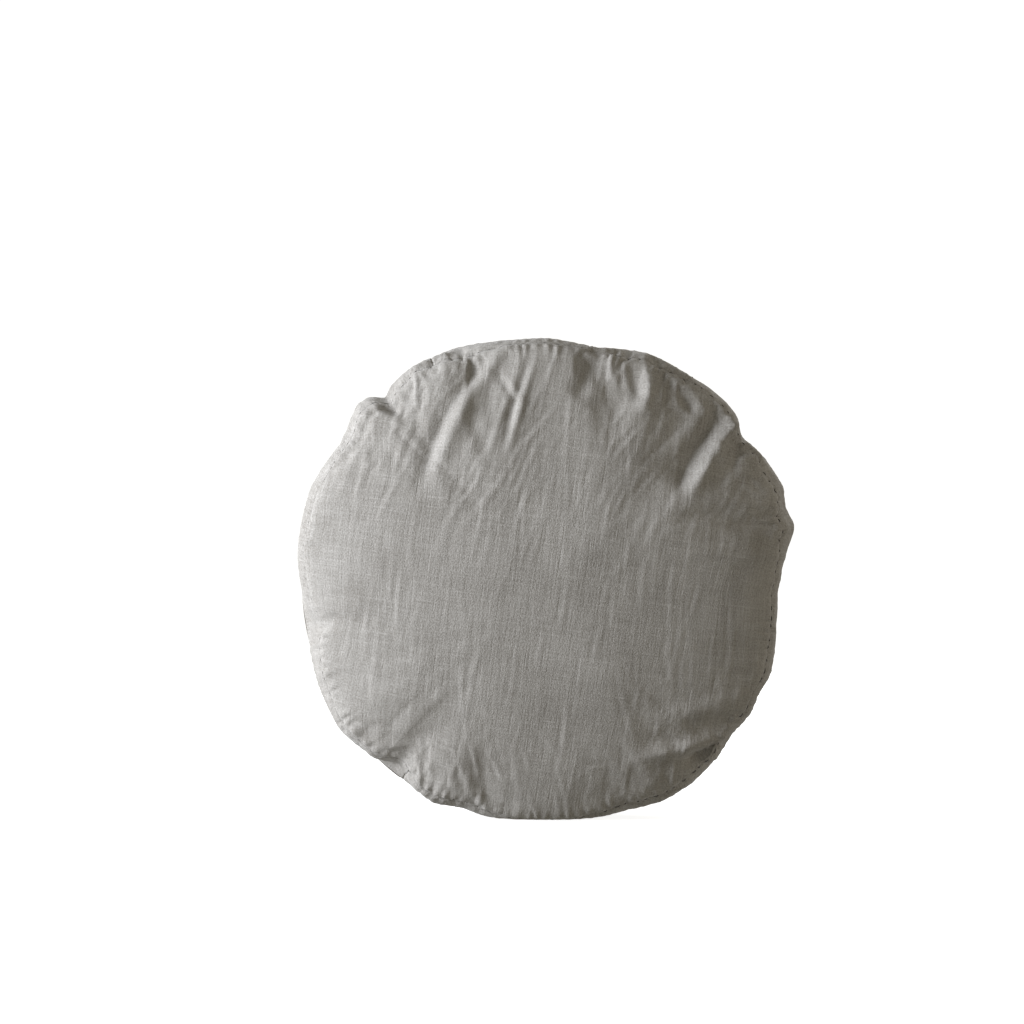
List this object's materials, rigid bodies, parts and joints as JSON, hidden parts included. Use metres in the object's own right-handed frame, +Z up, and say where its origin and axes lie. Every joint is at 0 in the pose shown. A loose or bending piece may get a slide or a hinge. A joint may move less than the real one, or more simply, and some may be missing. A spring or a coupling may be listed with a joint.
{
  "type": "floor cushion",
  "caption": "Round boxed linen floor cushion standing on its edge, with side band, hidden zip, inner case and fibre filling.",
  "frame": {"origin": "on the floor under the middle of the cushion, at the middle of its flat foot", "axes": "+Z up as the cushion stands on its edge, +Y out of the back round face, -Y out of the front round face, +X to the right seen from the front"},
  "size_m": [0.5998, 0.21, 0.582],
  "materials": {
    "linen": "matte",
    "thread": "matte",
    "zip_tape": "matte",
    "zip_coil": "satin",
    "zip_metal": "satin",
    "calico": "matte",
    "filling": "matte"
  },
  "bodies": {
    "cushion": {"front_panel": "linen", "back_panel": "linen", "side_band": "linen", "zip_strip_front": "linen", "zip_strip_back": "linen", "front_seam_thread": "thread", "back_seam_thread": "thread", "zip_topstitch_front": "thread", "zip_topstitch_back": "thread", "zip_tape_front": "zip_tape", "zip_tape_back": "zip_tape", "zip_coil_front": "zip_coil", "zip_coil_back": "zip_coil", "zip_stop_closed_end": "zip_metal", "zip_stop_open_end": "zip_metal", "inner_case_front": "calico", "inner_case_back": "calico", "inner_case_band": "calico", "inner_seam_thread_front": "calico", "inner_seam_thread_back": "calico", "fibre_filling": "filling"},
    "zip_slider": {"zip_slider_body": "zip_metal"},
    "zip_pull": {"zip_pull_tab": "zip_metal"}
  },
  "joints": [
    {"name": "zip_travel", "type": "hinge", "parent": "cushion", "child": "zip_slider", "pos_m": [0, 0, 0.282], "axis": [0, -1, 0], "range_deg": [0, 111.3]},
    {"name": "pull_swing", "type": "hinge", "parent": "zip_slider", "child": "zip_pull", "pos_m": [-0.147, 0.03969, 0.53836], "axis": [0.1581, 0.9481, -0.2757], "range_deg": [0, 165]}
  ]
}
